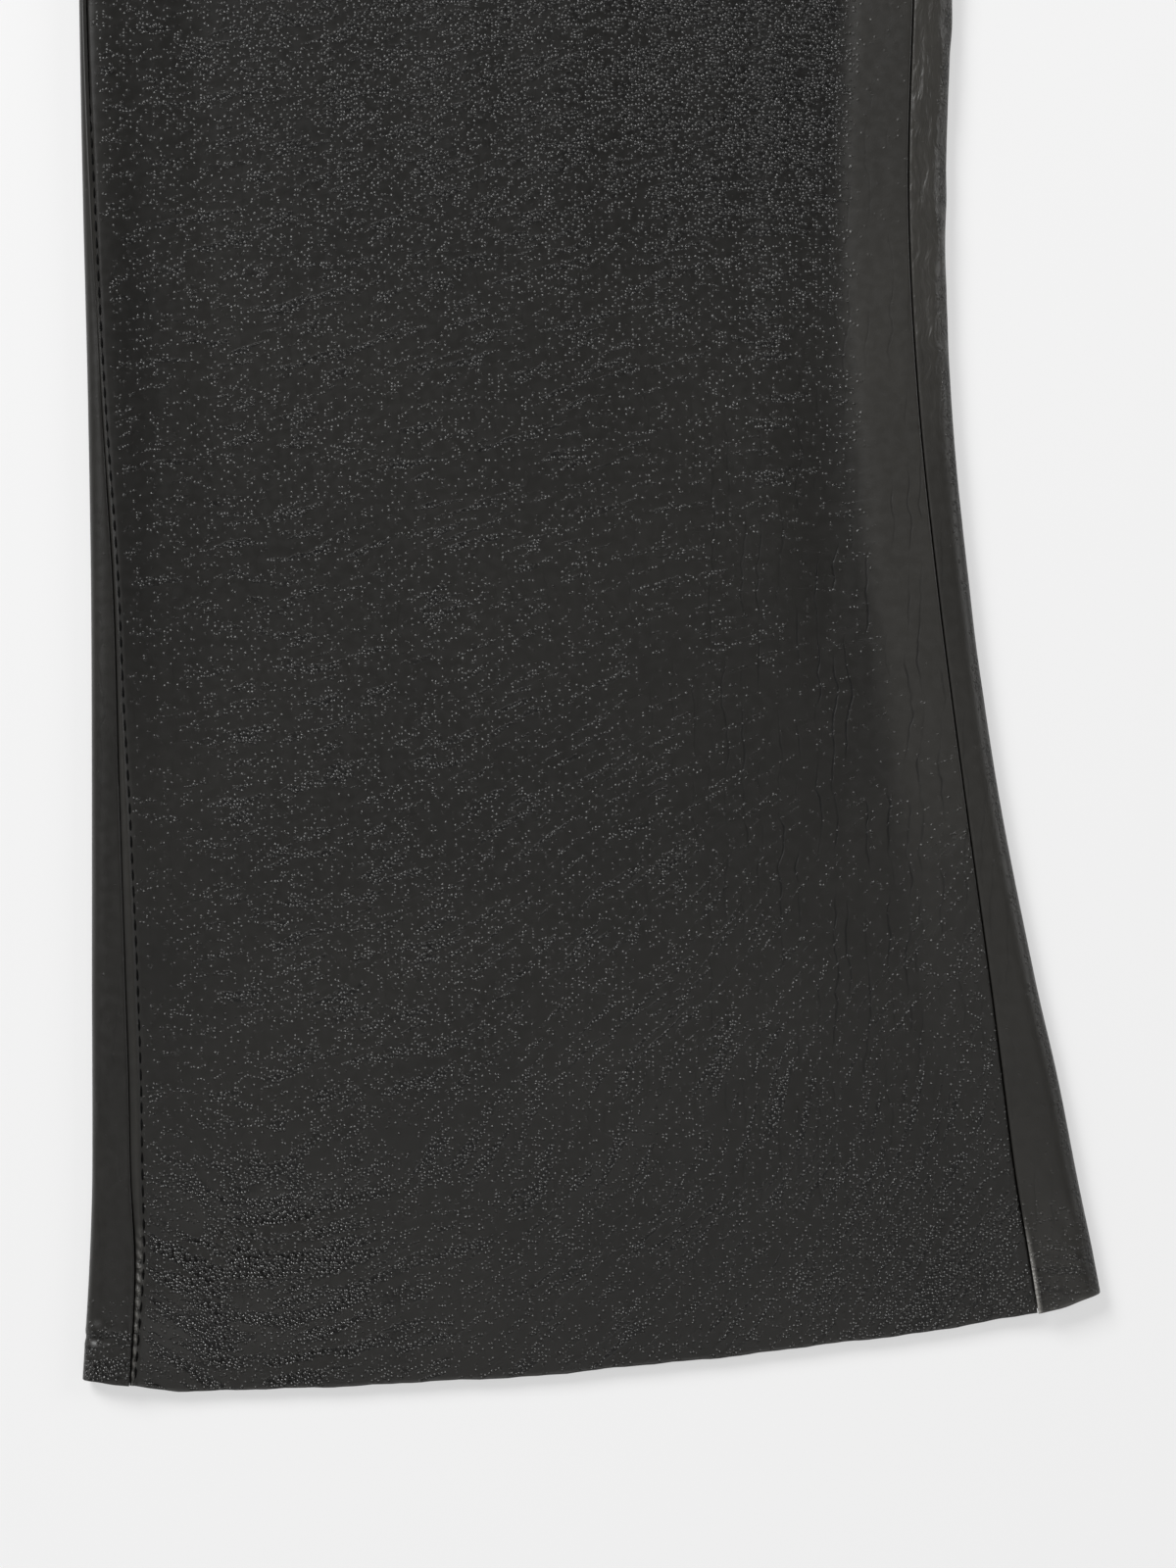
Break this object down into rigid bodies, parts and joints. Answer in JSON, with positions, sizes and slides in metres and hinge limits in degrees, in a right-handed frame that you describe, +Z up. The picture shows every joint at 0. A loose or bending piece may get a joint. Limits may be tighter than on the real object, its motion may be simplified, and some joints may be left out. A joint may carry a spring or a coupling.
{
  "type": "leather trousers",
  "caption": "Slim leather trousers with flared raw-cut hems and a plain waistband, laid flat with the front side up.",
  "frame": {"origin": "centre of the bounding box in plan, on the surface that the trousers lie on", "axes": "+Y from the hems to the waist, +X towards the wearer's left, +Z up out of the front side"},
  "size_m": [0.5712, 1.0402, 0.01],
  "materials": {
    "black_leather": "semi-matt pebble-grained black leather",
    "black_button": "satin black"
  },
  "bodies": {
    "root": {"front_left": "black_leather", "front_right": "black_leather", "back_left": "black_leather", "back_right": "black_leather", "waistband_back": "black_leather", "waistband_front_left": "black_leather", "waistband_front_right": "black_leather", "waist_button": "black_button"}
  },
  "joints": []
}
